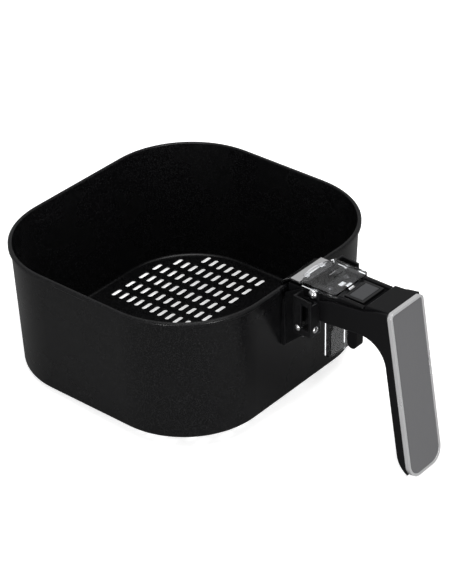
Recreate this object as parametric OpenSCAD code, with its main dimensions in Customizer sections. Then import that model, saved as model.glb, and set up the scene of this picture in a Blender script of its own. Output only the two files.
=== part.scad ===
// Frying basket of a drawer air fryer, with its handle, button guard and drawer latch.
// Frame: origin at the centre of the flat base, +Z up, handle toward -Y.

/* [Basket] */
// Width of the rim along X, outside
rim_w = 215; // [190:1:250]
// Depth of the rim along Y, outside
rim_d = 199.4; // [180:0.2:230]
// Height from the base to the top of the rim
basket_h = 93; // [85:0.5:115]
// Radius of the rim's corners, outside
corner_r = 64.5; // [50:0.5:72]
// How far the base outline lies inside the rim outline
base_inset = 5.2; // [4:0.1:8]
// Thickness of the sheet steel
sheet_t = 1; // [0.8:0.1:1.5]
// How far the rolled rim stands out past the wall
rim_lip = 1.75; // [1.2:0.05:3]
// Height of the rolled rim
rim_h = 3.2; // [2.5:0.1:5]
// Radius between wall and base, outside
base_r = 3; // [2:0.5:6]

/* [Slots] */
// Length of one slot along X
slot_l = 10; // [6:0.1:10.5]
// Width of one slot along Y
slot_w = 3.6; // [2:0.1:4]
// Spacing of the slots along X
slot_px = 14.7; // [13:0.1:15.5]
// Spacing of the slots along Y
slot_py = 7.3; // [6:0.1:8]
// Y of the first slot on each side of the plain middle band
slot_y0 = 8.9; // [6:0.1:12]
// Most slots in a column, on each side of that band
slot_cols = 11; // [6:1:11]

/* [Arm] */
// Width of the arm and of the grip
arm_w = 34.6; // [32:0.2:40]
// Distance from the rim to the end of the arm's shell
arm_gap = 27.8; // [27:0.1:32]
// Depth of the arm's underside below the rim
arm_depth = 15.4; // [14:0.1:18]
// Height of the arm's deck above the rim
deck_rise = 5; // [4.6:0.1:7]
// Wall thickness of the plastic shells
shell_t = 2; // [1.6:0.1:2.4]
// Height of the rails and button frame above the deck
rail_h = 2.2; // [2:0.1:2.6]

/* [Grip] */
// Distance from the rim to the top edge of the front plate
grip_reach = 83.7; // [82:0.1:90]
// Height of that top edge above the rim
grip_rise = 11; // [10:0.5:14]
// Length of the front plate
grip_l = 121.5; // [100:0.5:124]
// Lean of the front plate from upright, in degrees
grip_lean = 9.25; // [6:0.25:12]
// Thickness of the grip, back to front
grip_t = 9.2; // [8.8:0.1:12]
// Thickness of the bright frame round the plate
frame_t = 3; // [2.8:0.1:3.4]
// Width of the bright frame's border
frame_border = 1.8; // [1:0.1:4]
// Corner radius of the frame at the bottom
plate_r = 10.5; // [6:0.5:14]
// Corner radius of the frame at the top
plate_top_r = 4; // [3:0.5:6]

/* [Release] */
// Width of the release button
button_w = 17.6; // [14:0.2:20]
// Length of the release button along the arm
button_l = 10.5; // [9:0.1:11]
// Distance from the rim to the middle of the button
button_reach = 50.6; // [50.2:0.1:51]
// Travel of the button
button_travel = 2.2; // [1.5:0.1:2.4]
// Thickness of the clear guard
guard_t = 1.5; // [1.2:0.1:2]
// Travel of the clear guard along the arm
guard_travel = 19; // [14:0.5:19.5]
// Diameter of the latch pin
pin_d = 3; // [2.4:0.1:3.6]

/* [Fits] */
// Running clearance of sliding parts, each side
slide_gap = 0.4; // [0.3:0.05:0.5]
// Radial clearance of the latch on its pin
pin_gap = 0.06; // [0.03:0.01:0.1]
// Clearance of inserts that sit in a shell, each side
seat_gap = 0.1; // [0.05:0.05:0.2]

/* [Hidden] */
$fn = 48;

steel_black = [0.10, 0.10, 0.11];
plastic_black = [0.13, 0.13, 0.14];
steel_bright = [0.80, 0.80, 0.82];
silver_plate = [0.46, 0.47, 0.48];
clear_plastic = [0.85, 0.88, 0.90, 0.45];

// Basket
half_w = rim_w / 2;
half_d = rim_d / 2;
corner_x = half_w - corner_r;
corner_y = half_d - corner_r;
wall_top = basket_h - rim_h;
rim_edge = 0.9;
floor_r = corner_r - base_inset - base_r;

// Rivets and screws
rivet_d = 4;
rivet_head_r = 3.2;
rivet_head_h = 1.1;
screw_d = 3.5;
screw_head_r = 3.3;
screw_head_h = 2.4;
small_screw_d = 2.4;
small_head_r = 2.3;
small_head_h = 1.2;
hole_gap = 0.1;

// Bracket on the wall
plate_w = 35;
plate_z0 = basket_h - 46;
plate_z1 = basket_h - 7;
plate_corner_r = 8;
plate_y = -half_d + 0.2;
bracket_t = 1.5;
bracket_y0 = plate_y - bracket_t;
bracket_z0 = basket_h - 33;
bracket_z1 = basket_h + 5;
rivet_x = 10;
rivet_z = [basket_h - 28, basket_h - 16];

// Arm
arm_y0 = -half_d - arm_gap;
bracket_y1 = arm_y0 + 0.5;
arm_z0 = basket_h - arm_depth;
arm_z_front = arm_z0 + 2.9;
deck_z = basket_h + deck_rise;
deck_t = 2.4;
deck_y0 = arm_y0 + 2.5;
deck_y1 = arm_y0 - 33.5;
rail_w = 2.2;
rail_z = deck_z + rail_h;
core_w = arm_w - 2 * shell_t - 2 * seat_gap;
core_t = 2.2;
core_z0 = arm_z_front + shell_t + 0.6;
core_z1 = deck_z - deck_t;
core_y0 = bracket_y0 - 0.1;
core_y1 = arm_y0 - 44.5;
core_wall_y = arm_y0 - 3.1;
web_in = core_w / 2 + seat_gap;
web_out = web_in + bracket_t;
screw_y = arm_y0 + 5.6;
screw_z = basket_h + 2.4;
side_screw_l = 6;

// Ears on both sides of the bracket: left, right
ear_t = 1.4;
ear_out = web_out + 8.7;
ear_y = [arm_y0 + 14.5, arm_y0 + 0.5];
ear_window = [arm_y0 + 8.5, arm_y0 + 2.5];
ear_z0 = basket_h - 25;
ear_z1 = basket_h - 1.5;
ear_wall_z1 = [basket_h + 2.5, basket_h + 8];
ear_rivet_z = basket_h - 21;
ear_rivet_y = arm_y0 + 11.4;
ear_rivet_x = ear_out - 5;

// Grip
grip_y = -half_d - grip_reach;
grip_z = basket_h + grip_rise;
bend_r = 20.3;
bend_z = arm_z_front - bend_r;
foot_r = 16.5;
plate_inset = 0.3;
grip_plate_t = 1.6;
bar_w = 18;
bar_t = 2;
bar_top = -16;
bar_end = -104;
grip_screw_at = [-50, -95];
boss_r = 3.6;

// Strap over the rim
strap_w = 32;
strap_t = 1.4;
strap_z = rail_z - 0.1;
strap_in = -half_d + rim_lip + sheet_t + 0.3;
strap_lip = 8;
strap_rise_y = strap_in - 6.6;
strap_y1 = arm_y0 + 12;
strap_end_r = 6;
strap_screw = [8, arm_y0 + 17.5];

// Clear guard
guard_w = arm_w + 0.8;
guard_z0 = rail_z + slide_gap + 0.1;
guard_y0 = -half_d - 8.8;
guard_y1 = arm_y0 - 13.1;
guard_end_r = 32;
guard_corner_r = 3;
skirt_t = 1.2;
skirt_z0 = deck_z + 0.95;
lip_t = 0.5;
lip_in = core_w / 2 + 0.25;
overhang_t = 0.5;
thumb_rib = [8.5, 0.9, 0.5];

// Button, latch and guide
button_y = -half_d - button_reach;
button_gap = 0.45;
frame_ring = 1.8;
flange = 1.4;
flange_t = 1.5;
flange_z1 = core_z1 - 0.3;
flange_z0 = flange_z1 - flange_t;
pivot_y = arm_y0 - 29.5;
pivot_z = basket_h - 7;
hook_w = 7;
hook_eye_r = 4;
tail_z = basket_h - 3.4;
push_y = pivot_y + 9.6;
stem_t = 1.6;
stem_z0 = tail_z + 0.4;
tongue_y = [arm_y0 - 12.2, arm_y0 - 19.8];
tongue_z0 = basket_h - 37.4;
spring_x = 8;
spring_r = 3;
spring_wire = 0.8;
seat_z = basket_h - 6.6;
bottom_slot_w = 22;
guide_w = 21;
guide_t = 1.5;
guide_z0 = basket_h - 46;
guide_z1 = core_z0 + 3;
guide_flange = 5;

// Y of the outside of the handle wall at height z.
function wall_y(z) = -half_d + base_inset - (base_inset - rim_lip) * (z - base_r) / (wall_top - base_r);

// Y of the grip's front face at height z.
function front_y(z) = grip_y - (grip_z - z) * tan(grip_lean);

// Points of an arc from angle a0 to a1.
function arc(centre, r, a0, a1, steps = 10) =
    [for (i = [0:steps]) centre + r * [cos(a0 + (a1 - a0) * i / steps), sin(a0 + (a1 - a0) * i / steps)]];

// Extrudes a side outline, with Y across and Z up, from x0 to x1.
module side(x0, x1) {
    translate([x0, 0, 0])
        rotate([90, 0, 90])
            linear_extrude(x1 - x0) children();
}

// Box given by its lowest and highest corner.
module box(low, high) {
    translate(low) cube(high - low);
}

// Copies the children to both sides of the arm.
module both_sides() {
    children();
    mirror([1, 0, 0]) children();
}

// Places the children on the grip's front: X across, Y up along it, Z outward.
module on_front() {
    translate([0, grip_y, grip_z]) rotate([90 - grip_lean, 0, 0]) children();
}

// Cylinder along +X from the given point.
module rod_x(from, d, length) {
    translate(from) rotate([0, 90, 0]) cylinder(d = d, h = length);
}

// Cylinder along -Y from the given point.
module rod_y(from, d, length) {
    translate(from) rotate([90, 0, 0]) cylinder(d = d, h = length);
}

// Low domed head that sits on Z = 0 and rises to its height.
module dome(r, h) {
    ball = (r * r + h * h) / (2 * h);
    intersection() {
        translate([0, 0, h - ball]) sphere(ball);
        translate([-2 * r, -2 * r, 0]) cube([4 * r, 4 * r, h + 1]);
    }
}

// Half of the wall's section: distances are measured outward from the rim's outside line.
module wall_section() {
    foot = -base_inset;
    top = -rim_lip;
    base_centre = [foot - base_r, base_r];
    polygon(concat(
        arc(base_centre, base_r, -90, 0, 5),
        [[top, wall_top], [-0.5, wall_top], [0, wall_top + 0.5], [0, basket_h - rim_edge],
         [-rim_edge, basket_h], [top - sheet_t + rim_edge / 2, basket_h],
         [top - sheet_t, basket_h - rim_edge / 2]],
        arc(base_centre, base_r - sheet_t, 0, -90, 5)));
}

// Whether a slot centred here lies on the flat of the floor. The plain bands cross in the middle.
function slot_fits(x, y) =
    norm([max(abs(x) + (slot_l - slot_w) / 2 - corner_x, 0), max(abs(y) - corner_y, 0)])
        + slot_w / 2 <= floor_r;

// One slot with round ends, cut through the floor.
module slot() {
    hull_l = slot_l - slot_w;
    translate([-hull_l / 2, -slot_w / 2, -1]) cube([hull_l, slot_w, sheet_t + 2]);
    for (s = [-1, 1]) translate([s * hull_l / 2, 0, -1]) cylinder(d = slot_w, h = sheet_t + 2, $fn = 24);
}

// Flat of the floor, with its rows of slots.
module floor_plate() {
    rows = floor((half_w - base_inset) / slot_px);
    difference() {
        union() {
            box([-corner_x, -corner_y - floor_r, 0], [corner_x, corner_y + floor_r, sheet_t]);
            box([-corner_x - floor_r, -corner_y, 0], [corner_x + floor_r, corner_y, sheet_t]);
            for (sx = [-1, 1], sy = [-1, 1])
                translate([sx * corner_x, sy * corner_y, 0]) cylinder(r = floor_r, h = sheet_t);
        }
        for (row = [-rows:rows], col = [0:slot_cols - 1], s = [-1, 1]) {
            x = row * slot_px;
            y = s * (slot_y0 + col * slot_py);
            if (row != 0 && slot_fits(x, y)) translate([x, y, 0]) slot();
        }
    }
}

// Pressed steel basket with a rolled rim and a slotted floor.
module basket_tub() {
    color(steel_black) difference() {
        union() {
            for (s = [0, 1]) {
                mirror([s, 0, 0]) translate([half_w, corner_y, 0])
                    rotate([90, 0, 0]) linear_extrude(2 * corner_y) wall_section();
                mirror([0, s, 0]) translate([-corner_x, half_d, 0])
                    rotate([90, 0, 90]) linear_extrude(2 * corner_x) wall_section();
            }
            for (q = [0:3]) {
                sx = (q == 0 || q == 3) ? 1 : -1;
                sy = q < 2 ? 1 : -1;
                translate([sx * corner_x, sy * corner_y, 0]) rotate([0, 0, q * 90])
                    rotate_extrude(angle = 90, $fn = 96) translate([corner_r, 0]) wall_section();
            }
            floor_plate();
        }
        wall_rivet_holes();
    }
}

// Places the children at each rivet of the wall plate.
module at_wall_rivets() {
    for (x = [-rivet_x, rivet_x], z = rivet_z) translate([x, 0, z]) children();
}

module wall_rivet_holes() {
    at_wall_rivets() rod_y([0, -half_d + 15, 0], rivet_d + 2 * hole_gap, 20);
}

// Plate that spreads the handle's load over the wall.
module wall_plate() {
    color(steel_black) difference() {
        intersection() {
            side(-plate_w / 2, plate_w / 2)
                polygon([[wall_y(plate_z0), plate_z0], [wall_y(plate_z1), plate_z1],
                         [plate_y, plate_z1], [plate_y, plate_z0]]);
            union() {
                box([-plate_w / 2, -half_d - 1, plate_z0],
                    [plate_w / 2, -half_d + 20, plate_z1 - plate_corner_r]);
                box([-plate_w / 2 + plate_corner_r, -half_d - 1, plate_z0],
                    [plate_w / 2 - plate_corner_r, -half_d + 20, plate_z1]);
                for (s = [-1, 1])
                    rod_y([s * (plate_w / 2 - plate_corner_r), -half_d + 20,
                           plate_z1 - plate_corner_r], 2 * plate_corner_r, 21);
            }
        }
        wall_rivet_holes();
    }
}

// Rivets through wall, plate and bracket, with a low head on each side.
module plate_rivets() {
    color(steel_bright) for (x = [-rivet_x, rivet_x], z = rivet_z) {
        inside = wall_y(z - rivet_head_r) + sheet_t + 0.08;
        rod_y([x, inside + 0.3, z], rivet_d, inside - bracket_y0 + 0.6);
        translate([x, bracket_y0, z]) rotate([90, 0, 0]) dome(rivet_head_r, rivet_head_h);
        translate([x, inside, z]) rotate([-90, 0, 0]) dome(rivet_head_r, rivet_head_h);
    }
}

// Folded bracket: a back on the wall plate and a web on each side of the arm.
module arm_bracket() {
    color(steel_black) difference() {
        union() {
            box([-web_out, bracket_y0, bracket_z0], [web_out, plate_y, plate_z1 + 2]);
            both_sides() side(web_in, web_out)
                polygon([[plate_y, bracket_z0], [plate_y, plate_z1 + 2], [ear_y[0], bracket_z1 - 2],
                         [ear_y[0] - 4, bracket_z1], [bracket_y1, bracket_z1], [bracket_y1, ear_z0],
                         [ear_y[0], bracket_z0], [plate_y, plate_z0 + 1]]);
        }
        wall_rivet_holes();
        side_screw_holes(screw_d + 2 * hole_gap);
        ear_rivet_holes();
    }
}

module side_screw_holes(d) {
    both_sides() rod_x([web_in - side_screw_l, screw_y, screw_z], d, side_screw_l + 5);
}

module ear_rivet_holes() {
    both_sides() {
        rod_x([web_in - 1, ear_rivet_y, ear_rivet_z], rivet_d - 1 + 2 * hole_gap, ear_out);
        rod_y([ear_rivet_x, ear_y[1] + 4, ear_rivet_z], rivet_d - 1 + 2 * hole_gap, 6);
    }
}

// Folded ear outside the bracket's web, with a tall window in its outer wall.
module ear(wall_z1) {
    color(steel_black) difference() {
        union() {
            box([web_out, ear_y[1], ear_z0], [web_out + ear_t, ear_y[0], ear_z1]);
            box([web_out, ear_y[1], ear_z0], [ear_out, ear_y[1] + ear_t, ear_z1]);
            side(ear_out - ear_t, ear_out)
                polygon([[ear_y[0], ear_z0], [ear_y[0], wall_z1], [ear_y[1], wall_z1 - 1],
                         [ear_y[1], ear_z0]]);
            box([web_out, ear_y[0] - ear_t, ear_z0], [ear_out, ear_y[0], wall_z1]);
        }
        box([ear_out - 2, ear_window[1], ear_z0 + 4], [ear_out + 1, ear_window[0], ear_z1 - 1]);
        box([0, ear_y[1] - 5, skirt_z0 - 1], [guard_w / 2 + slide_gap, ear_y[0] + 5, grip_z]);
        ear_rivet_holes();
    }
}

module left_ear() {
    mirror([1, 0, 0]) ear(ear_wall_z1[0]);
}

module right_ear() {
    ear(ear_wall_z1[1]);
}

// Rivets that close the ears: one across each ear, one in each front fold.
module ear_rivets() {
    d = rivet_d - 1;
    color(steel_bright) both_sides() {
        rod_x([web_in - 0.2, ear_rivet_y, ear_rivet_z], d, ear_out - web_in + 0.3);
        translate([ear_out, ear_rivet_y, ear_rivet_z]) rotate([0, 90, 0]) dome(2.4, 1);
        rod_y([ear_rivet_x, ear_y[1] + ear_t + 1, ear_rivet_z], d, ear_t + 1.2);
        translate([ear_rivet_x, ear_y[1], ear_rivet_z]) rotate([90, 0, 0]) dome(2.4, 1);
    }
}

// Domed screws that hold the arm's core between the bracket's webs.
module side_screws() {
    color(steel_bright) both_sides() {
        rod_x([web_in - side_screw_l + 0.5, screw_y, screw_z], screw_d, side_screw_l + bracket_t - 0.4);
        translate([web_out, screw_y, screw_z]) rotate([0, 90, 0]) dome(screw_head_r, screw_head_h);
    }
}

// Polished strap that hooks over the rim and runs out under the guard.
module rim_strap() {
    color(steel_bright) difference() {
        intersection() {
            side(-strap_w / 2, strap_w / 2)
                polygon([[strap_in, basket_h - strap_lip], [strap_in, basket_h + 1.2],
                         [strap_rise_y + 0.4, strap_z - strap_t], [strap_y1, strap_z - strap_t],
                         [strap_y1, strap_z], [strap_rise_y, strap_z],
                         [strap_in - 0.6, basket_h + 3.6], [strap_in + strap_t, basket_h + 1.2],
                         [strap_in + strap_t, basket_h - strap_lip]]);
            union() {
                box([-strap_w / 2, strap_y1 + strap_end_r, 0], [strap_w / 2, 0, grip_z]);
                box([-strap_w / 2 + strap_end_r, strap_y1, 0], [strap_w / 2 - strap_end_r, 0, grip_z]);
                for (s = [-1, 1])
                    translate([s * (strap_w / 2 - strap_end_r), strap_y1 + strap_end_r, 0])
                        cylinder(r = strap_end_r, h = grip_z);
            }
        }
        at_strap_screws() cylinder(d = small_screw_d + 2 * hole_gap, h = grip_z);
    }
}

// Places the children at the strap's two screws.
module at_strap_screws() {
    for (s = [-1, 1]) translate([s * strap_screw[0], strap_screw[1], 0]) children();
}

// Flat screws that hold the strap down on the core's bosses.
module strap_screws() {
    color(steel_bright) at_strap_screws() {
        translate([0, 0, core_z1 - 4]) cylinder(d = small_screw_d, h = strap_z - core_z1 + 4);
        translate([0, 0, strap_z]) cylinder(r = small_head_r, h = guard_z0 - strap_z - 0.3);
    }
}

// Inner frame of the arm, which carries the latch pin, the button springs and the deck.
module arm_core() {
    half = core_w / 2;
    inner = half - core_t;
    color(plastic_black) difference() {
        union() {
            both_sides() box([inner, core_y1, core_z0], [half, core_y0, core_z1]);
            for (y = [core_y0, core_wall_y + core_t, core_y1 + 8 + core_t, core_y1 + core_t])
                box([-half, y - core_t, core_z0], [half, y, core_z1]);
            box([-half, core_wall_y, core_z0], [half, core_y0, core_z0 + core_t]);
            box([-half, core_y1, core_z0], [half, core_y1 + 8, core_z0 + core_t]);
            both_sides() {
                box([spring_x - spring_r - 0.2, button_y - spring_r - 0.2, seat_z - 2.4],
                    [half, button_y + spring_r + 0.2, seat_z]);
                box([web_in - side_screw_l - 1.5, screw_y - 2.9, core_z0],
                    [half, screw_y + 2.9, screw_z + 2.4]);
            }
            at_strap_screws() translate([0, 0, core_z0]) cylinder(r = boss_r, h = strap_z - strap_t - core_z0);
            at_deck_screws() translate([0, 0, guide_z1 + 0.4])
                cylinder(r = boss_r, h = core_z1 - guide_z1 - 0.4);
        }
        box([-bar_w / 2 - seat_gap, core_y1 - 1, core_z0 + core_t],
            [bar_w / 2 + seat_gap, core_y1 + core_t + 1, core_z0 + core_t + bar_t + seat_gap]);
        side_screw_holes(screw_d + hole_gap);
        rod_x([-half - 1, pivot_y, pivot_z], pin_d + hole_gap, core_w + 2);
        at_strap_screws() translate([0, 0, core_z1 - 5]) cylinder(d = small_screw_d + hole_gap, h = 20);
        at_deck_screws() translate([0, 0, core_z1 - 7]) cylinder(d = small_screw_d + hole_gap, h = 20);
    }
}

// Side outline of the handle's shell, drawn in by a wall's thickness and open at the ends.
function shell_side(t, open) =
    let (back_off = (grip_t - t) / cos(grip_lean),
         r = bend_r + t,
         bend_y = front_y(bend_z) + grip_t / cos(grip_lean) + bend_r / cos(grip_lean),
         foot_z = grip_z - grip_l * cos(grip_lean) + foot_r + 1.6,
         foot_y = front_y(foot_z) + back_off - (foot_r - t) / cos(grip_lean),
         end_z = foot_z - foot_r + t + 1.4)
    concat(
        [[arm_y0 + open, arm_z0 + t]],
        arc([bend_y, bend_z], r, 88, 180 - grip_lean, 12),
        arc([foot_y, foot_z], foot_r - t, -grip_lean, -62, 8),
        [[front_y(end_z) + frame_t / cos(grip_lean) - open, end_z],
         [front_y(grip_z - 0.6) + frame_t / cos(grip_lean) - open, grip_z - 0.6 + open]],
        open > 0 ? [[arm_y0 + open, grip_z + open]]
                 : [[arm_y0 - 44.5, deck_z + 3.9], [arm_y0 - 34.5, deck_z + 0.3],
                    [arm_y0 - 15.5, deck_z - 1.8], [arm_y0, deck_z - 5]]);

// Outer shell of arm and grip, open on top for the deck and in front for the bright frame.
module handle_shell() {
    half = arm_w / 2;
    color(plastic_black) difference() {
        side(-half, half) polygon(shell_side(0, 0));
        side(-half + shell_t, half - shell_t) polygon(shell_side(shell_t, 1));
        box([-bottom_slot_w / 2, pivot_y - 4.5, arm_z0 - 5],
            [bottom_slot_w / 2, arm_y0 + 1, core_z0 + 1]);
        at_grip_screws() cylinder(d = small_screw_d + 2 * hole_gap, h = 3 * grip_t, center = true);
        both_sides() on_front() translate([0, 0, -30]) linear_extrude(40) difference() {
            translate([half - plate_r, -grip_l - 2]) square(plate_r + 2);
            translate([half - plate_r, -grip_l + plate_r]) circle(plate_r);
        }
    }
}

// Places the children at the grip's screws, on the front plate's face.
module at_grip_screws() {
    on_front() for (s = grip_screw_at) translate([0, s, 0]) children();
}

// Places the children at the deck's two screws.
module at_deck_screws() {
    for (s = [-1, 1]) translate([s * 9, arm_y0 - 2.1, 0]) children();
}

// Deck on top of the arm, with the guard's rails and the button's opening.
module arm_deck() {
    half = core_w / 2;
    color(plastic_black) difference() {
        union() {
            box([-half, deck_y1, core_z1], [half, deck_y0, deck_z]);
            both_sides() {
                box([half - rail_w, deck_y1, deck_z - 0.5], [half, deck_y0, rail_z]);
                box([half - rail_w, deck_y1, rail_z - overhang_t], [half + 0.7, deck_y0, rail_z]);
            }
        }
        button_opening(core_z1 - 1, deck_z + 1);
        at_deck_screws() translate([0, 0, core_z1 - 1]) cylinder(d = small_screw_d + 2 * hole_gap, h = 9);
    }
}

// Opening that the button travels in, between two heights.
module button_opening(z0, z1) {
    w = button_w / 2 + button_gap;
    l = button_l / 2 + button_gap;
    box([-w, button_y - l, z0], [w, button_y + l, z1]);
}

module deck_screws() {
    color([0.25, 0.25, 0.26]) at_deck_screws() {
        translate([0, 0, core_z1 - 6]) cylinder(d = small_screw_d, h = deck_z - core_z1 + 6);
        translate([0, 0, deck_z]) dome(small_head_r, small_head_h);
    }
}

// Raised frame round the button.
module button_frame() {
    w = button_w / 2 + button_gap + frame_ring;
    l = button_l / 2 + button_gap + frame_ring;
    color([0.05, 0.05, 0.055]) difference() {
        box([-w, button_y - l, deck_z], [w, button_y + l, rail_z]);
        button_opening(deck_z - 1, rail_z + 1);
    }
}

// Raised cap that closes the outer end of the arm.
module arm_end_cap() {
    front = frame_t / cos(grip_lean) + seat_gap;
    top = grip_z - 0.4;
    y0 = deck_y1 - 0.3;
    color(plastic_black) side(-core_w / 2, core_w / 2)
        polygon([[y0, core_z1], [y0, deck_z + 0.6], [y0 - 2, deck_z + 4.2],
                 [front_y(top) + front, top], [front_y(core_z1) + front, core_z1]]);
}

// Button with a flange that stops under the deck and a stem that pushes the latch.
module release_button() {
    w = button_w / 2;
    l = button_l / 2;
    color([0.40, 0.41, 0.43]) {
        box([-w, button_y - l, flange_z0], [w, button_y + l, rail_z + 0.1]);
        box([-w - flange, button_y - l - flange, flange_z0], [w + flange, button_y + l + flange, flange_z1]);
        box([-3.2, push_y - stem_t / 2, stem_z0], [3.2, push_y + stem_t / 2, flange_z0]);
    }
}

// Two coil springs under the button's flange, as plain tubes.
module button_springs() {
    color(steel_bright) for (s = [-1, 1]) translate([s * spring_x, button_y, seat_z]) difference() {
        cylinder(r = spring_r, h = flange_z0 - seat_z);
        translate([0, 0, -1]) cylinder(r = spring_r - spring_wire, h = flange_z0 - seat_z + 2);
    }
}

// Plan outline of the guard, rounded toward the basket, shrunk by a margin.
module guard_outline(margin) {
    w = guard_w / 2 - margin;
    r = guard_corner_r;
    front = guard_y1 + margin;
    intersection() {
        translate([-w, front]) square([2 * w, guard_y0 - margin - front]);
        translate([0, guard_y0 - guard_end_r]) circle(guard_end_r - margin, $fn = 96);
        union() {
            translate([-w, front + r]) square([2 * w, 60]);
            translate([-w + r, front]) square([2 * (w - r), 60]);
            for (s = [-1, 1]) translate([s * (w - r), front + r]) circle(r);
        }
    }
}

// Clear guard that slides along the rails and covers the button.
module button_guard() {
    w = guard_w / 2;
    color(clear_plastic) {
        translate([0, 0, guard_z0]) linear_extrude(guard_t) guard_outline(0);
        intersection() {
            translate([0, 0, skirt_z0]) linear_extrude(guard_z0 - skirt_z0 + 0.5) guard_outline(0);
            both_sides() {
                box([w - skirt_t, guard_y1, skirt_z0], [w, guard_y0, guard_z0 + 0.5]);
                box([lip_in, guard_y1, skirt_z0], [w, deck_y0 + 2.5, skirt_z0 + lip_t]);
            }
        }
        for (y = [-2, 2])
            translate([-1, (guard_y0 + guard_y1) / 2 + y - thumb_rib[1] / 2, guard_z0 + guard_t - 0.1])
                cube(thumb_rib + [0, 0, 0.1]);
    }
}

// Spring leaf on the deck that holds the guard at either end of its travel.
module guard_detent() {
    y0 = deck_y0 - 6;
    color(steel_bright) side(-2.5, 2.5)
        polygon([[y0, deck_z], [y0 - 3, deck_z], [y0 - 6, deck_z + 1.6], [y0 - 7.5, deck_z + 1.6],
                 [y0 - 10, deck_z + 0.3], [y0 - 10, deck_z + 0.8], [y0 - 7.5, deck_z + 2.1],
                 [y0 - 6, deck_z + 2.1], [y0 - 3, deck_z + 0.5], [y0, deck_z + 0.5]]);
}

// Rocking latch: an eye on the pin, a tail under the button and a tongue below the arm.
module latch_hook() {
    r = (tongue_y[0] - tongue_y[1]) / 2;
    mid = (tongue_y[0] + tongue_y[1]) / 2;
    x = hook_w / 2;
    color(plastic_black) difference() {
        union() {
            rod_x([-x, pivot_y, pivot_z], 2 * hook_eye_r, hook_w);
            box([-x, pivot_y, pivot_z - 2.5], [x, tongue_y[0], tail_z]);
            box([-x, tongue_y[1], tongue_z0 + r], [x, tongue_y[0], tail_z]);
            rod_x([-x, mid, tongue_z0 + r], 2 * r, hook_w);
        }
        rod_x([-x - 1, pivot_y, pivot_z], pin_d + 2 * pin_gap, hook_w + 2);
    }
}

module latch_pin() {
    color(steel_bright) rod_x([-core_w / 2 + 0.2, pivot_y, pivot_z], pin_d, core_w - 0.4);
}

// Return spring of the latch, as a plain sleeve on each side of the hook.
module latch_spring() {
    inner = pin_d / 2 + 0.4;
    color(steel_bright) both_sides() difference() {
        rod_x([hook_w / 2 + 0.4, pivot_y, pivot_z], 2 * (inner + spring_wire), 5);
        rod_x([hook_w / 2 - 1, pivot_y, pivot_z], 2 * inner, 8);
    }
}

// Clear channel under the arm that guides the drawer's catch to the latch.
module latch_guide() {
    w = guide_w / 2;
    color(clear_plastic) {
        box([-w, core_wall_y - guide_t, guide_z0], [w, core_wall_y, guide_z1]);
        both_sides() box([w - guide_t, core_wall_y - guide_t, guide_z0],
                         [w, core_wall_y - guide_t + guide_flange, arm_z0 - 0.5]);
    }
}

// Stiffening bar inside the grip, with a foot on the end of the arm's core.
module grip_core() {
    deep = -grip_t + shell_t + seat_gap;
    color(steel_bright) {
        on_front() difference() {
            box([-bar_w / 2, bar_end, deep], [bar_w / 2, bar_top, deep + bar_t]);
            for (s = grip_screw_at) translate([0, s, -20]) cylinder(d = small_screw_d + 2 * hole_gap, h = 40);
        }
        side(-bar_w / 2, bar_w / 2)
            polygon([[core_y1 + 5.5, core_z0 + core_t], [core_y1 + 5.5, core_z0 + core_t + bar_t],
                     [front_y(core_z0 + core_t + bar_t) + 5.5, core_z0 + core_t + bar_t],
                     [front_y(core_z0 + core_t) + 5.5, core_z0 + core_t]]);
    }
}

// Outline of the grip's front, shrunk by a margin.
module front_outline(margin) {
    w = arm_w / 2 - margin;
    r = plate_r - margin;
    rt = max(plate_top_r - margin, 0.4);
    low = -grip_l + margin;
    union() {
        translate([-w, low + r]) square([2 * w, -margin - rt - low - r]);
        translate([-w + r, low]) square([2 * (w - r), grip_l / 2]);
        translate([-w + rt, -grip_l / 2]) square([2 * (w - rt), grip_l / 2 - margin]);
        for (s = [-1, 1]) {
            translate([s * (w - r), low + r]) circle(r);
            translate([s * (w - rt), -margin - rt]) circle(rt);
        }
    }
}

// Bright tray that frames the front plate, with a boss for each grip screw.
module grip_frame() {
    pocket = grip_plate_t + plate_inset;
    deep = -grip_t + shell_t + seat_gap + bar_t;
    color(steel_bright) on_front() difference() {
        union() {
            translate([0, 0, -frame_t]) linear_extrude(frame_t) front_outline(0);
            for (s = grip_screw_at) translate([0, s, deep]) cylinder(r = boss_r, h = -deep - frame_t + 0.2);
        }
        translate([0, 0, -pocket]) linear_extrude(pocket + 1) front_outline(frame_border);
        for (s = grip_screw_at) translate([0, s, deep - 1])
            cylinder(d = small_screw_d + hole_gap, h = -deep - pocket + 0.5);
    }
}

// Satin plate set into the bright frame.
module grip_plate() {
    color(silver_plate) on_front()
        translate([0, 0, -grip_plate_t - plate_inset])
            linear_extrude(grip_plate_t) front_outline(frame_border + seat_gap);
}

// Screws from the back of the grip into the frame's bosses.
module grip_screws() {
    color([0.25, 0.25, 0.26]) at_grip_screws() {
        translate([0, 0, -grip_t]) cylinder(d = small_screw_d, h = grip_t - grip_plate_t - plate_inset - 0.8);
        translate([0, 0, -grip_t]) rotate([180, 0, 0]) dome(small_head_r, small_head_h);
    }
}

basket_tub();
wall_plate();
plate_rivets();
arm_bracket();
left_ear();
right_ear();
ear_rivets();
side_screws();
rim_strap();
strap_screws();
arm_core();
handle_shell();
arm_deck();
deck_screws();
button_frame();
arm_end_cap();
release_button();
button_springs();
button_guard();
guard_detent();
latch_hook();
latch_pin();
latch_spring();
latch_guide();
grip_core();
grip_frame();
grip_plate();
grip_screws();
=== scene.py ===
"""Studio scene of an air fryer's frying basket with its drop-down handle and guarded latch button."""

import logging
import math
from dataclasses import dataclass, field
from enum import Enum
from typing import Any, Iterable

import bmesh
import bpy
from mathutils import Matrix, Vector


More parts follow.
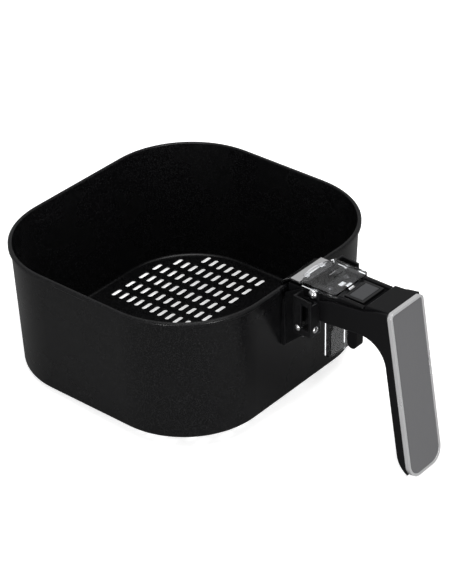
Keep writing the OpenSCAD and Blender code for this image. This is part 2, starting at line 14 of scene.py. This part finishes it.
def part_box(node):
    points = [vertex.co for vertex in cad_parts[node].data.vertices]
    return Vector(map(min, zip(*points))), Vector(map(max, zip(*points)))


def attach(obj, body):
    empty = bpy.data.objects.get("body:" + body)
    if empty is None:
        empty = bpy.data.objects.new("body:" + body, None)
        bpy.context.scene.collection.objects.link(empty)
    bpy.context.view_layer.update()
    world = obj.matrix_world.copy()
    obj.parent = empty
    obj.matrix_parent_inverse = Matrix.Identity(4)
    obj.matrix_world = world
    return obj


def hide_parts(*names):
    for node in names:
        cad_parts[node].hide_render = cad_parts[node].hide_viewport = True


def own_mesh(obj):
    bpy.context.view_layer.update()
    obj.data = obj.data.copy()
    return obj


LOG = logging.getLogger("basket_scene")
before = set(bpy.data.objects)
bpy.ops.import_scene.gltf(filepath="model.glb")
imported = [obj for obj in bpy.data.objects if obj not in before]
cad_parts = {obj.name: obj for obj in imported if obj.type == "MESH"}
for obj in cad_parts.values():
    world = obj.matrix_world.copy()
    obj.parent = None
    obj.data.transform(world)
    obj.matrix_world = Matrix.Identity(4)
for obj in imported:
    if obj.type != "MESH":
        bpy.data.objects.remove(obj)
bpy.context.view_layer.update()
Colour = tuple[float, float, float]
SurfaceSockets = tuple[bpy.types.NodeSocket, bpy.types.NodeSocket]


class Effect(Enum):
    """Shared surface effects, each built once as a shader node group."""

    FLECKS = "coating flecks"
    GRAIN = "moulded grain"
    BRUSHING = "fine brushing"
    HANDLING = "handling marks"
    SOFT_EDGE = "soft edge"


class NodeTree:
    """Small helper that adds nodes and links to one shader tree."""

    def __init__(self, tree: bpy.types.NodeTree) -> None:
        """Keeps the tree to build in."""
        self.tree = tree

    def add(self, kind: str, at: tuple[float, float] = (0, 0), **values: Any) -> bpy.types.Node:
        """Adds a node and sets its properties and inputs.

        Args:
            kind: Blender's type name of the node.
            at: place in the editor.
            values: properties, or input names with underscores for spaces.

        Returns:
            The new node.
        """
        node = self.tree.nodes.new(kind)
        node.location = at
        for key, value in values.items():
            if key in node.bl_rna.properties:
                setattr(node, key, value)
            else:
                node.inputs[key.replace("_", " ")].default_value = value
        return node

    def link(self, source: bpy.types.NodeSocket, target: bpy.types.NodeSocket) -> None:
        """Links an output to an input."""
        self.tree.links.new(source, target)


@dataclass
class EffectLibrary:
    """Builds each shared effect once and places it in materials."""

    groups: dict[Effect, bpy.types.NodeTree] = field(default_factory=dict)

    def _start(self, effect: Effect, inputs: dict[str, tuple[str, Any]],
               outputs: dict[str, str]) -> tuple[NodeTree, bpy.types.Node, bpy.types.Node]:
        """Makes an empty group with named sockets.

        Args:
            effect: the effect that the group holds.
            inputs: input name to socket type and default value.
            outputs: output name to socket type.

        Returns:
            The tree helper, the group's input node and its output node.
        """
        group = bpy.data.node_groups.new(effect.value, "ShaderNodeTree")
        for name, (kind, value) in inputs.items():
            socket = group.interface.new_socket(name=name, in_out="INPUT", socket_type=kind)
            socket.default_value = value
        for name, kind in outputs.items():
            group.interface.new_socket(name=name, in_out="OUTPUT", socket_type=kind)
        tree = NodeTree(group)
        self.groups[effect] = group
        return tree, tree.add("NodeGroupInput", (-900, 0)), tree.add("NodeGroupOutput", (700, 0))

    def build(self) -> None:
        """Builds all shared effects."""
        self._flecks()
        self._grain()
        self._brushing()
        self._handling()
        self._soft_edge()

    def _flecks(self) -> None:
        """Tiny pale flecks in a dark coating, with a faint orange-peel height."""
        tree, given, out = self._start(
            Effect.FLECKS,
            {"Base": ("NodeSocketColor", (0.01, 0.01, 0.01, 1)),
             "Fleck": ("NodeSocketColor", (0.1, 0.1, 0.1, 1)),
             "Scale": ("NodeSocketFloat", 1500.0),
             "Share": ("NodeSocketFloat", 0.2)},
            {"Color": "NodeSocketColor", "Height": "NodeSocketFloat"})
        coords = tree.add("ShaderNodeTexCoord", (-900, -250))
        cells = tree.add("ShaderNodeTexVoronoi", (-650, -100), feature="F1")
        tree.link(coords.outputs["Object"], cells.inputs["Vector"])
        tree.link(given.outputs["Scale"], cells.inputs["Scale"])
        split = tree.add("ShaderNodeSeparateColor", (-450, -100))
        tree.link(cells.outputs["Color"], split.inputs["Color"])
        spread = tree.add("ShaderNodeMath", (-450, 120), operation="SUBTRACT")
        spread.inputs[0].default_value = 1.0
        tree.link(given.outputs["Share"], spread.inputs[1])
        chosen = tree.add("ShaderNodeMath", (-250, 60), operation="GREATER_THAN")
        tree.link(split.outputs["Red"], chosen.inputs[0])
        tree.link(spread.outputs[0], chosen.inputs[1])
        bright = tree.add("ShaderNodeMath", (-80, 20), operation="MULTIPLY")
        tree.link(chosen.outputs[0], bright.inputs[0])
        tree.link(split.outputs["Green"], bright.inputs[1])
        mix = tree.add("ShaderNodeMix", (150, 100), data_type="RGBA")
        tree.link(bright.outputs[0], mix.inputs["Factor"])
        tree.link(given.outputs["Base"], mix.inputs["A"])
        tree.link(given.outputs["Fleck"], mix.inputs["B"])
        tree.link(mix.outputs["Result"], out.inputs["Color"])
        peel = tree.add("ShaderNodeTexNoise", (-250, -300), Scale=520.0, Detail=2.0)
        tree.link(coords.outputs["Object"], peel.inputs["Vector"])
        tree.link(peel.outputs["Fac"], out.inputs["Height"])

    def _grain(self) -> None:
        """Fine spark-eroded grain of a moulded surface."""
        tree, given, out = self._start(
            Effect.GRAIN, {"Scale": ("NodeSocketFloat", 2200.0)}, {"Height": "NodeSocketFloat"})
        coords = tree.add("ShaderNodeTexCoord", (-700, -100))
        noise = tree.add("ShaderNodeTexNoise", (-400, 0), Detail=3.0, Roughness=0.6)
        tree.link(coords.outputs["Object"], noise.inputs["Vector"])
        tree.link(given.outputs["Scale"], noise.inputs["Scale"])
        tree.link(noise.outputs["Fac"], out.inputs["Height"])

    def _brushing(self) -> None:
        """Long fine scratches along the object's Z."""
        tree, given, out = self._start(
            Effect.BRUSHING,
            {"Base": ("NodeSocketColor", (0.2, 0.2, 0.2, 1)),
             "Contrast": ("NodeSocketFloat", 0.2)},
            {"Color": "NodeSocketColor", "Height": "NodeSocketFloat"})
        coords = tree.add("ShaderNodeTexCoord", (-900, -200))
        stretch = tree.add("ShaderNodeMapping", (-700, -200))
        stretch.inputs["Scale"].default_value = (3200.0, 900.0, 45.0)
        tree.link(coords.outputs["Object"], stretch.inputs["Vector"])
        noise = tree.add("ShaderNodeTexNoise", (-480, -200), Scale=1.0, Detail=4.0)
        tree.link(stretch.outputs["Vector"], noise.inputs["Vector"])
        shade = tree.add("ShaderNodeMapRange", (-260, 60))
        tree.link(noise.outputs["Fac"], shade.inputs["Value"])
        low = tree.add("ShaderNodeMath", (-480, 160), operation="SUBTRACT")
        low.inputs[0].default_value = 1.0
        tree.link(given.outputs["Contrast"], low.inputs[1])
        high = tree.add("ShaderNodeMath", (-480, 320), operation="ADD")
        high.inputs[0].default_value = 1.0
        tree.link(given.outputs["Contrast"], high.inputs[1])
        tree.link(low.outputs[0], shade.inputs["To Min"])
        tree.link(high.outputs[0], shade.inputs["To Max"])
        tint = tree.add("ShaderNodeVectorMath", (0, 60), operation="SCALE")
        tree.link(given.outputs["Base"], tint.inputs[0])
        tree.link(shade.outputs["Result"], tint.inputs["Scale"])
        tree.link(tint.outputs["Vector"], out.inputs["Color"])
        tree.link(noise.outputs["Fac"], out.inputs["Height"])

    def _handling(self) -> None:
        """Slow change of roughness, as of wiping and fingers."""
        tree, given, out = self._start(
            Effect.HANDLING,
            {"Roughness": ("NodeSocketFloat", 0.4), "Change": ("NodeSocketFloat", 0.06),
             "Scale": ("NodeSocketFloat", 35.0)},
            {"Roughness": "NodeSocketFloat"})
        coords = tree.add("ShaderNodeTexCoord", (-800, -200))
        noise = tree.add("ShaderNodeTexNoise", (-550, -100), Detail=4.0)
        tree.link(coords.outputs["Object"], noise.inputs["Vector"])
        tree.link(given.outputs["Scale"], noise.inputs["Scale"])
        centred = tree.add("ShaderNodeMath", (-330, 0), operation="SUBTRACT")
        tree.link(noise.outputs["Fac"], centred.inputs[0])
        centred.inputs[1].default_value = 0.5
        total = tree.add("ShaderNodeMath", (-80, 0), operation="MULTIPLY_ADD")
        tree.link(centred.outputs[0], total.inputs[0])
        tree.link(given.outputs["Change"], total.inputs[1])
        tree.link(given.outputs["Roughness"], total.inputs[2])
        tree.link(total.outputs[0], out.inputs["Roughness"])

    def _soft_edge(self) -> None:
        """Normal rounded over edges, and a mask of those edges."""
        tree, given, out = self._start(
            Effect.SOFT_EDGE, {"Radius": ("NodeSocketFloat", 0.0004)},
            {"Normal": "NodeSocketVector", "Edge": "NodeSocketFloat"})
        bevel = tree.add("ShaderNodeBevel", (-500, 0), samples=4)
        tree.link(given.outputs["Radius"], bevel.inputs["Radius"])
        surface = tree.add("ShaderNodeNewGeometry", (-500, -200))
        dot = tree.add("ShaderNodeVectorMath", (-250, -100), operation="DOT_PRODUCT")
        tree.link(bevel.outputs["Normal"], dot.inputs[0])
        tree.link(surface.outputs["Normal"], dot.inputs[1])
        edge = tree.add("ShaderNodeMapRange", (0, -100))
        edge.inputs["From Min"].default_value = 0.98
        edge.inputs["From Max"].default_value = 0.75
        tree.link(dot.outputs["Value"], edge.inputs["Value"])
        tree.link(bevel.outputs["Normal"], out.inputs["Normal"])
        tree.link(edge.outputs["Result"], out.inputs["Edge"])

    def place(self, tree: NodeTree, effect: Effect, at: tuple[float, float],
              **values: Any) -> bpy.types.Node:
        """Places an effect in a material.

        Args:
            tree: the material's tree.
            effect: which effect.
            at: place in the editor.
            values: the effect's input values.

        Returns:
            The group node.
        """
        node = tree.add("ShaderNodeGroup", at, node_tree=self.groups[effect])
        for key, value in values.items():
            node.inputs[key].default_value = value
        return node


EFFECTS = EffectLibrary()
# Least paleness of the painted edge highlight, so that even black edges are painted paler.
LEAST_PAINTED_EDGE_HIGHLIGHT = 0.002


def with_alpha(colour: Colour) -> tuple[float, float, float, float]:
    """Returns the colour with full alpha."""
    return (*colour, 1.0)


def grey(tone: float) -> tuple[float, float, float, float]:
    """Returns a neutral colour of one tone with full alpha."""
    return with_alpha((tone, tone, tone))


@dataclass(frozen=True)
class Finish:
    """What all finishes share: a name, a colour and how they take light.

    The edge lift paints a highlight along the edges: it is how much paler an edge is painted than
    the rest, and the grain lift how much paler the tops of the grain are.
    """

    name: str
    colour: Colour
    roughness: float
    metallic: float = 0.0
    specular: float = 0.5
    edge_radius: float = 0.0004
    # How much paler the painted edge highlight is than the surface's own colour.
    edge_highlight_lift: float = 1.6
    grain_lift: float = 1.25
    bump: float = 0.05
    bump_depth: float = 0.00004

    def surface(self, tree: NodeTree) -> SurfaceSockets:
        """Adds the finish's own pattern.

        Args:
            tree: the material's tree.

        Returns:
            The colour socket and the height socket.
        """
        grain = EFFECTS.place(tree, Effect.GRAIN, (-700, -300))
        tone = tree.add("ShaderNodeMixRGB", (-500, 200))
        tone.inputs["Color1"].default_value = with_alpha(self.colour)
        tone.inputs["Color2"].default_value = with_alpha(
            tuple(self.grain_lift * c for c in self.colour))
        tree.link(grain.outputs["Height"], tone.inputs["Fac"])
        return tone.outputs["Color"], grain.outputs["Height"]

    def make(self) -> bpy.types.Material:
        """Builds the material and returns it."""
        material = bpy.data.materials.new(self.name)
        material.use_nodes = True
        material.node_tree.nodes.clear()
        tree = NodeTree(material.node_tree)
        out = tree.add("ShaderNodeOutputMaterial", (500, 0))
        shader = tree.add("ShaderNodeBsdfPrincipled", (200, 0))
        shader.inputs["Metallic"].default_value = self.metallic
        shader.inputs["Specular IOR Level"].default_value = self.specular
        colour, height = self.surface(tree)
        edge = EFFECTS.place(tree, Effect.SOFT_EDGE, (-450, -550), Radius=self.edge_radius)
        # Painted highlight: the edges found by the soft edge mask are painted paler than the rest.
        painted_edge_highlight = tree.add("ShaderNodeMix", (-150, 150), data_type="RGBA")
        painted_edge_highlight.inputs["B"].default_value = with_alpha(
            tuple(min(1.0, self.edge_highlight_lift * c + LEAST_PAINTED_EDGE_HIGHLIGHT) for c in self.colour))
        tree.link(edge.outputs["Edge"], painted_edge_highlight.inputs["Factor"])
        tree.link(colour, painted_edge_highlight.inputs["A"])
        tree.link(painted_edge_highlight.outputs["Result"], shader.inputs["Base Color"])
        handling = EFFECTS.place(tree, Effect.HANDLING, (-450, -50), Roughness=self.roughness)
        tree.link(handling.outputs["Roughness"], shader.inputs["Roughness"])
        bump = tree.add("ShaderNodeBump", (-150, -300))
        bump.inputs["Strength"].default_value = self.bump
        bump.inputs["Distance"].default_value = self.bump_depth
        tree.link(height, bump.inputs["Height"])
        tree.link(edge.outputs["Normal"], bump.inputs["Normal"])
        tree.link(bump.outputs["Normal"], shader.inputs["Normal"])
        tree.link(shader.outputs["BSDF"], out.inputs["Surface"])
        self.extra(tree, shader)
        return material

    def extra(self, tree: NodeTree, shader: bpy.types.Node) -> None:
        """Lets a finish set more of the shader's own sockets."""


@dataclass(frozen=True)
class FleckedCoating(Finish):
    """Dark non-stick coating with tiny pale flecks."""

    fleck: Colour = (0.018, 0.018, 0.019)
    share: float = 0.35
    scale: float = 2400.0

    def surface(self, tree: NodeTree) -> SurfaceSockets:
        """Adds the flecks and returns colour and height."""
        flecks = EFFECTS.place(tree, Effect.FLECKS, (-700, 100), Base=with_alpha(self.colour),
                               Fleck=with_alpha(self.fleck), Scale=self.scale, Share=self.share)
        return flecks.outputs["Color"], flecks.outputs["Height"]


@dataclass(frozen=True)
class BrushedMetal(Finish):
    """Metal with fine brushing along the grip."""

    contrast: float = 0.15

    def surface(self, tree: NodeTree) -> SurfaceSockets:
        """Adds the brushing and returns colour and height."""
        lines = EFFECTS.place(tree, Effect.BRUSHING, (-700, 100), Base=with_alpha(self.colour),
                              Contrast=self.contrast)
        return lines.outputs["Color"], lines.outputs["Height"]


@dataclass(frozen=True)
class ClearPlastic(Finish):
    """Clear moulded plastic that shows what lies under it."""

    refraction: float = 1.25

    def extra(self, tree: NodeTree, shader: bpy.types.Node) -> None:
        """Lets light through the sheet, which is smooth and the same all over."""
        for name in ("Normal", "Base Color", "Roughness"):
            for link in list(shader.inputs[name].links):
                tree.tree.links.remove(link)
        shader.inputs["Base Color"].default_value = with_alpha(self.colour)
        shader.inputs["Roughness"].default_value = self.roughness
        shader.inputs["Transmission Weight"].default_value = 1.0
        shader.inputs["IOR"].default_value = self.refraction


@dataclass(frozen=True)
class PartlyBlackenedMetal(Finish):
    """Polished metal whose far end is blackened beyond a line across the arm."""

    line_y: float = -0.1105
    line_blur: float = 0.0002
    black: Colour = (0.012, 0.012, 0.013)

    def extra(self, tree: NodeTree, shader: bpy.types.Node) -> None:
        """Mixes the two finishes along the arm."""
        coords = tree.add("ShaderNodeTexCoord", (-900, 700))
        axes = tree.add("ShaderNodeSeparateXYZ", (-700, 700))
        tree.link(coords.outputs["Object"], axes.inputs["Vector"])
        mask = tree.add("ShaderNodeMapRange", (-500, 700))
        mask.inputs["From Min"].default_value = self.line_y - self.line_blur
        mask.inputs["From Max"].default_value = self.line_y + self.line_blur
        tree.link(axes.outputs["Y"], mask.inputs["Value"])
        tone = tree.add("ShaderNodeMix", (0, 600), data_type="RGBA")
        tone.inputs["A"].default_value = with_alpha(self.black)
        tree.link(mask.outputs["Result"], tone.inputs["Factor"])
        tree.link(shader.inputs["Base Color"].links[0].from_socket, tone.inputs["B"])
        tree.link(tone.outputs["Result"], shader.inputs["Base Color"])
        tree.link(mask.outputs["Result"], shader.inputs["Metallic"])


# The edge lifts below set the strength of each finish's painted edge highlight.
COATED_STEEL = FleckedCoating("non-stick coating", (0.0018, 0.0018, 0.0021), 0.27, specular=0.3,
                              bump=0.2, edge_highlight_lift=9.0, edge_radius=0.0007)
BLACK_STEEL = FleckedCoating("black enamelled steel", (0.003, 0.003, 0.0034), 0.3, specular=0.22,
                             edge_highlight_lift=9.0)
POLISHED_STEEL = Finish("polished steel", (0.86, 0.86, 0.87), 0.14, metallic=1.0, bump=0.02)
STRAP_STEEL = PartlyBlackenedMetal("strap steel", (0.86, 0.86, 0.87), 0.14, metallic=1.0,
                                   bump=0.02, specular=0.3)
BRIGHT_FASTENER = Finish("bright fastener steel", (0.62, 0.62, 0.63), 0.25, metallic=1.0)
DARK_FASTENER = Finish("blackened fastener steel", (0.06, 0.06, 0.062), 0.35, metallic=1.0)
BLACK_PLASTIC = Finish("black moulded plastic", (0.0045, 0.0045, 0.005), 0.34, specular=0.14,
                       bump=0.3, edge_highlight_lift=2.5, edge_radius=0.0014)
GLOSS_BLACK = Finish("glossy black plastic", (0.005, 0.005, 0.0055), 0.16, specular=0.45)
BUTTON_GREY = Finish("grey button plastic", (0.05, 0.051, 0.054), 0.24, specular=0.5, bump=0.1,
                     edge_radius=0.0012)
CLEAR = ClearPlastic("clear plastic", (0.96, 0.97, 0.98), 0.06, specular=0.5, bump=0.0)
BRIGHT_TRIM = BrushedMetal("bright edged trim", (0.9, 0.9, 0.91), 0.28, metallic=0.7)
GREY_PLATE = BrushedMetal("grey brushed plate", (0.21, 0.21, 0.217), 0.34, metallic=0.4,
                          contrast=0.07, specular=0.3)


@dataclass
class Workshop:
    """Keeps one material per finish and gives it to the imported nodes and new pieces."""

    made: dict[str, bpy.types.Material] = field(default_factory=dict)

    def material(self, finish: Finish) -> bpy.types.Material:
        """Returns the finish's material, building it the first time."""
        if finish.name not in self.made:
            self.made[finish.name] = finish.make()
        return self.made[finish.name]

    def dress(self, node: str, finish: Finish) -> None:
        """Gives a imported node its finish.

        Args:
            node: the node's name.
            finish: the finish to put in its material slots.
        """
        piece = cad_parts[node]
        material = self.material(finish)
        if not piece.material_slots:
            piece.data.materials.append(material)
        for slot in piece.material_slots:
            slot.material = material

    def finish_new(self, piece: bpy.types.Object, finish: Finish) -> None:
        """Gives a new piece its finish."""
        piece.data.materials.clear()
        piece.data.materials.append(self.material(finish))


WORKSHOP = Workshop()


@dataclass
class WireCoil:
    """Round wire wound along a straight axis, with closed end turns."""

    name: str
    start: Vector
    axis: Vector
    length: float
    radius: float
    wire: float
    turns: float
    sides: int = 10
    steps_per_turn: int = 28
    closed_turns: float = 0.75

    def path(self) -> list[Vector]:
        """Returns the points that the wire's middle follows."""
        forward = self.axis.normalized()
        across = forward.orthogonal().normalized()
        other = forward.cross(across)
        total = int(self.turns * self.steps_per_turn)
        usable = self.length - 2 * self.wire
        points = []
        for i in range(total + 1):
            turn = i / self.steps_per_turn
            share = (turn - self.closed_turns) / (self.turns - 2 * self.closed_turns)
            share = min(max(share, 0.0), 1.0)
            angle = 2 * math.pi * turn
            points.append(self.start + forward * (self.wire + usable * share)
                          + across * self.radius * math.cos(angle)
                          + other * self.radius * math.sin(angle))
        return points

    def build(self) -> bpy.types.Object:
        """Sweeps the wire along its path and returns the new piece."""
        points = self.path()
        mesh = bmesh.new()
        rings = []
        for i, point in enumerate(points):
            ahead = points[min(i + 1, len(points) - 1)] - points[max(i - 1, 0)]
            ahead.normalize()
            side = ahead.cross(self.axis).normalized()
            top = side.cross(ahead)
            rings.append([mesh.verts.new(point + self.wire * (side * math.cos(a) + top * math.sin(a)))
                          for a in (2 * math.pi * k / self.sides for k in range(self.sides))])
        for first, second in zip(rings, rings[1:]):
            for k in range(self.sides):
                after = (k + 1) % self.sides
                mesh.faces.new((first[k], first[after], second[after], second[k]))
        mesh.faces.new(list(reversed(rings[0])))
        mesh.faces.new(rings[-1])
        bmesh.ops.recalc_face_normals(mesh, faces=mesh.faces)
        for face in mesh.faces:
            face.smooth = True
        data = bpy.data.meshes.new(self.name)
        mesh.to_mesh(data)
        mesh.free()
        piece = bpy.data.objects.new(self.name, data)
        bpy.context.scene.collection.objects.link(piece)
        return piece


@dataclass
class Basket:
    """Pressed basket with its wall plate, bracket, ears and fasteners."""

    coated: tuple[str, ...] = ("basket_tub",)
    folded: tuple[str, ...] = ("wall_plate", "arm_bracket", "left_ear", "right_ear")
    fasteners: tuple[str, ...] = ("plate_rivets", "ear_rivets", "side_screws", "strap_screws")

    def dress(self) -> None:
        """Gives each of the basket's nodes its finish."""
        for node in self.coated:
            WORKSHOP.dress(node, COATED_STEEL)
        for node in self.folded:
            WORKSHOP.dress(node, BLACK_STEEL)
        for node in self.fasteners:
            WORKSHOP.dress(node, BRIGHT_FASTENER)
        WORKSHOP.dress("rim_strap", STRAP_STEEL)


@dataclass
class Arm:
    """Arm shell, its core, deck, cap and clear channel."""

    plastic: tuple[str, ...] = ("arm_core", "handle_shell", "arm_deck", "arm_end_cap")

    def dress(self) -> None:
        """Gives each of the arm's nodes its finish."""
        for node in self.plastic:
            WORKSHOP.dress(node, BLACK_PLASTIC)
        WORKSHOP.dress("deck_screws", DARK_FASTENER)
        WORKSHOP.dress("button_frame", GLOSS_BLACK)
        WORKSHOP.dress("latch_guide", CLEAR)


@dataclass
class Release:
    """Button with its coil springs, clear guard and rocking latch."""

    coil_wire: float = 0.00035
    coil_turns: float = 5.5
    pivot_wire: float = 0.0003
    pivot_turns: float = 7.0
    pivot_play: float = 0.0004

    def dress(self) -> None:
        """Gives each of the release's nodes its finish."""
        WORKSHOP.dress("release_button", BUTTON_GREY)
        WORKSHOP.dress("button_guard", CLEAR)
        WORKSHOP.dress("guard_detent", POLISHED_STEEL)
        WORKSHOP.dress("latch_hook", BLACK_PLASTIC)
        WORKSHOP.dress("latch_pin", BRIGHT_FASTENER)

    def wind_button_springs(self) -> None:
        """Winds the two coils that stand for the plain tubes under the button."""
        low, high = (Vector(corner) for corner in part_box("button_springs"))
        height = high.z - low.z
        outer = (high.y - low.y) / 2
        middle = (low.y + high.y) / 2
        for side, x in (("left", low.x + outer), ("right", high.x - outer)):
            coil = WireCoil(f"button_coil_{side}", Vector((x, middle, low.z)), Vector((0, 0, 1)),
                            height, outer - self.coil_wire, self.coil_wire, self.coil_turns)
            piece = coil.build()
            WORKSHOP.finish_new(piece, BRIGHT_FASTENER)
            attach(piece, "basket")
            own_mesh(piece)
            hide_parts("button_springs")

    def wind_latch_spring(self) -> None:
        """Winds the coil on each side of the latch that stands for the plain sleeves."""
        low, high = (Vector(corner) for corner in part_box("latch_spring"))
        hook_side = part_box("latch_hook")[1][0]
        outer = (high.z - low.z) / 2
        centre = (low + high) / 2
        length = high.x - hook_side - self.pivot_play
        for side, x, way in (("left", low.x, 1), ("right", high.x, -1)):
            start = Vector((x, centre.y, centre.z))
            coil = WireCoil(f"latch_coil_{side}", start, Vector((way, 0, 0)), length,
                            outer - self.pivot_wire, self.pivot_wire, self.pivot_turns)
            piece = coil.build()
            WORKSHOP.finish_new(piece, BRIGHT_FASTENER)
            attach(piece, "basket")
            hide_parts("latch_spring")


@dataclass
class Grip:
    """Front of the handle: bright frame, grey plate and the bar inside."""

    def dress(self) -> None:
        """Gives each of the grip's nodes its finish."""
        WORKSHOP.dress("grip_frame", BRIGHT_TRIM)
        WORKSHOP.dress("grip_plate", GREY_PLATE)
        WORKSHOP.dress("grip_core", BLACK_STEEL)
        WORKSHOP.dress("grip_screws", DARK_FASTENER)


@dataclass(frozen=True)
class Lamp:
    """One soft rectangular lamp that points at the object."""

    name: str
    azimuth: float
    elevation: float
    distance: float
    size: tuple[float, float]
    watts: float

    def hang(self, aim: Vector) -> None:
        """Hangs the lamp round a point.

        Args:
            aim: the point it shines at.
        """
        a = math.radians(self.azimuth)
        e = math.radians(self.elevation)
        out = Vector((math.sin(a) * math.cos(e), -math.cos(a) * math.cos(e), math.sin(e)))
        data = bpy.data.lights.new(self.name, "AREA")
        data.shape = "RECTANGLE"
        data.size, data.size_y = self.size
        data.energy = self.watts
        lamp = bpy.data.objects.new(self.name, data)
        lamp.matrix_world = (Matrix.Translation(aim + out * self.distance)
                             @ out.to_track_quat("Z", "Y").to_matrix().to_4x4())
        bpy.context.scene.collection.objects.link(lamp)


@dataclass
class Studio:
    """Pale floor that the object rests on, soft lamps, white surroundings and the camera."""

    camera_position: Vector = field(default_factory=lambda: Vector((-0.94044, -0.8431, 0.84504)))
    camera_aim: Vector = field(default_factory=lambda: Vector((0.01498, -0.02174, 0.04164)))
    camera_roll: float = -1.342
    lens: float = 134.39
    lamp_aim: Vector = field(default_factory=lambda: Vector((0.0, -0.04, 0.05)))
    floor_half: float = 4.0
    floor_gap: float = 0.0003
    base_round: float = 0.0082
    grip_round: float = 0.003
    floor_tone: float = 0.9
    floor_glow: float = 0.68
    unseen_floor_tone: float = 0.28
    soft_light: float = 0.4
    lamps: tuple[Lamp, ...] = (
        Lamp("left strip", -72.0, 4.0, 1.3, (0.14, 0.8), 7.0),
        Lamp("right strip", -20.0, 4.0, 1.3, (0.14, 0.8), 9.0),
        Lamp("top", -30.0, 80.0, 1.5, (1.0, 1.0), 12.0),
    )

    def lay_floor(self) -> None:
        """Lays the floor under the end of the grip and the far edge of the base."""
        grip = Vector(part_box("grip_frame")[0])
        tub_high = Vector(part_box("basket_tub")[1])
        far_edge = Vector((0.0, tub_high.y - self.base_round, 0.0))
        near = Vector((0.0, grip.y + self.grip_round, grip.z))
        slope = math.atan2(far_edge.z - near.z, far_edge.y - near.y)
        mesh = bmesh.new()
        bmesh.ops.create_grid(mesh, x_segments=8, y_segments=8, size=self.floor_half)
        data = bpy.data.meshes.new("floor")
        mesh.to_mesh(data)
        mesh.free()
        floor = bpy.data.objects.new("floor", data)
        floor.matrix_world = (Matrix.Translation(near + Vector((0, 0, -self.floor_gap)))
                              @ Matrix.Rotation(slope, 4, "X"))
        floor.data.materials.append(self.floor_material())
        bpy.context.scene.collection.objects.link(floor)

    def floor_material(self) -> bpy.types.Material:
        """Returns a white matt floor that stays white to the eye and keeps its shadow."""
        material = bpy.data.materials.new("studio floor")
        material.use_nodes = True
        material.node_tree.nodes.clear()
        tree = NodeTree(material.node_tree)
        out = tree.add("ShaderNodeOutputMaterial", (600, 0))
        matt = tree.add("ShaderNodeBsdfDiffuse", (0, 100))
        matt.inputs["Color"].default_value = grey(self.floor_tone)
        glow = tree.add("ShaderNodeEmission", (0, -100))
        glow.inputs["Strength"].default_value = self.floor_glow
        light = tree.add("ShaderNodeLightPath", (-300, 300))
        both = tree.add("ShaderNodeAddShader", (200, 0))
        tree.link(matt.outputs["BSDF"], both.inputs[0])
        tree.link(glow.outputs["Emission"], both.inputs[1])
        seen = tree.add("ShaderNodeMixShader", (400, 0))
        ray = tree.add("ShaderNodeMath", (-50, 350), operation="MAXIMUM")
        tree.link(light.outputs["Is Camera Ray"], ray.inputs[0])
        tree.link(light.outputs["Is Transmission Ray"], ray.inputs[1])
        tree.link(ray.outputs[0], seen.inputs["Fac"])
        unseen = tree.add("ShaderNodeBsdfDiffuse", (0, 300))
        unseen.inputs["Color"].default_value = grey(self.unseen_floor_tone)
        tree.link(unseen.outputs["BSDF"], seen.inputs[1])
        tree.link(both.outputs["Shader"], seen.inputs[2])
        tree.link(seen.outputs["Shader"], out.inputs["Surface"])
        return material

    def light_world(self) -> None:
        """Makes the surroundings white to the eye and soft as a light."""
        world = bpy.data.worlds.new("studio")
        bpy.context.scene.world = world
        world.use_nodes = True
        world.node_tree.nodes.clear()
        tree = NodeTree(world.node_tree)
        out = tree.add("ShaderNodeOutputWorld", (600, 0))
        soft = tree.add("ShaderNodeBackground", (0, 100))
        soft.inputs["Color"].default_value = grey(1.0)
        soft.inputs["Strength"].default_value = self.soft_light
        white = tree.add("ShaderNodeBackground", (0, -100))
        white.inputs["Color"].default_value = grey(1.0)
        white.inputs["Strength"].default_value = 1.0
        light = tree.add("ShaderNodeLightPath", (-300, 300))
        ray = tree.add("ShaderNodeMath", (0, 350), operation="MAXIMUM")
        tree.link(light.outputs["Is Camera Ray"], ray.inputs[0])
        tree.link(light.outputs["Is Transmission Ray"], ray.inputs[1])
        seen = tree.add("ShaderNodeMixShader", (300, 0))
        tree.link(ray.outputs[0], seen.inputs["Fac"])
        tree.link(soft.outputs["Background"], seen.inputs[1])
        tree.link(white.outputs["Background"], seen.inputs[2])
        tree.link(seen.outputs["Shader"], out.inputs["Surface"])

    def hang_lamps(self) -> None:
        """Hangs every lamp round the basket."""
        for lamp in self.lamps:
            lamp.hang(self.lamp_aim)

    def place_camera(self) -> None:
        """Places the camera and makes it the scene's."""
        back = (self.camera_position - self.camera_aim).normalized()
        data = bpy.data.cameras.new("camera")
        data.lens = self.lens
        data.sensor_width = 36.0
        data.clip_end = 20.0
        camera = bpy.data.objects.new("camera", data)
        camera.matrix_world = (Matrix.Translation(self.camera_position)
                               @ back.to_track_quat("Z", "Y").to_matrix().to_4x4()
                               @ Matrix.Rotation(math.radians(self.camera_roll), 4, "Z"))
        bpy.context.scene.collection.objects.link(camera)
        bpy.context.scene.camera = camera
        bpy.context.scene.view_settings.view_transform = "Standard"

    def build(self) -> None:
        """Sets up camera, floor, surroundings and lamps."""
        self.place_camera()
        self.lay_floor()
        self.light_world()
        self.hang_lamps()


def main() -> None:
    """Builds the studio and dresses each sub-assembly in order."""
    logging.basicConfig(level=logging.INFO, format="%(message)s")
    Studio().build()
    LOG.info("studio set")
    EFFECTS.build()
    Basket().dress()
    LOG.info("basket dressed")
    Arm().dress()
    LOG.info("arm dressed")
    release = Release()
    release.dress()
    release.wind_button_springs()
    release.wind_latch_spring()
    LOG.info("release dressed and its springs wound")
    Grip().dress()
    LOG.info("grip dressed")


if __name__ == "__main__":
    main()
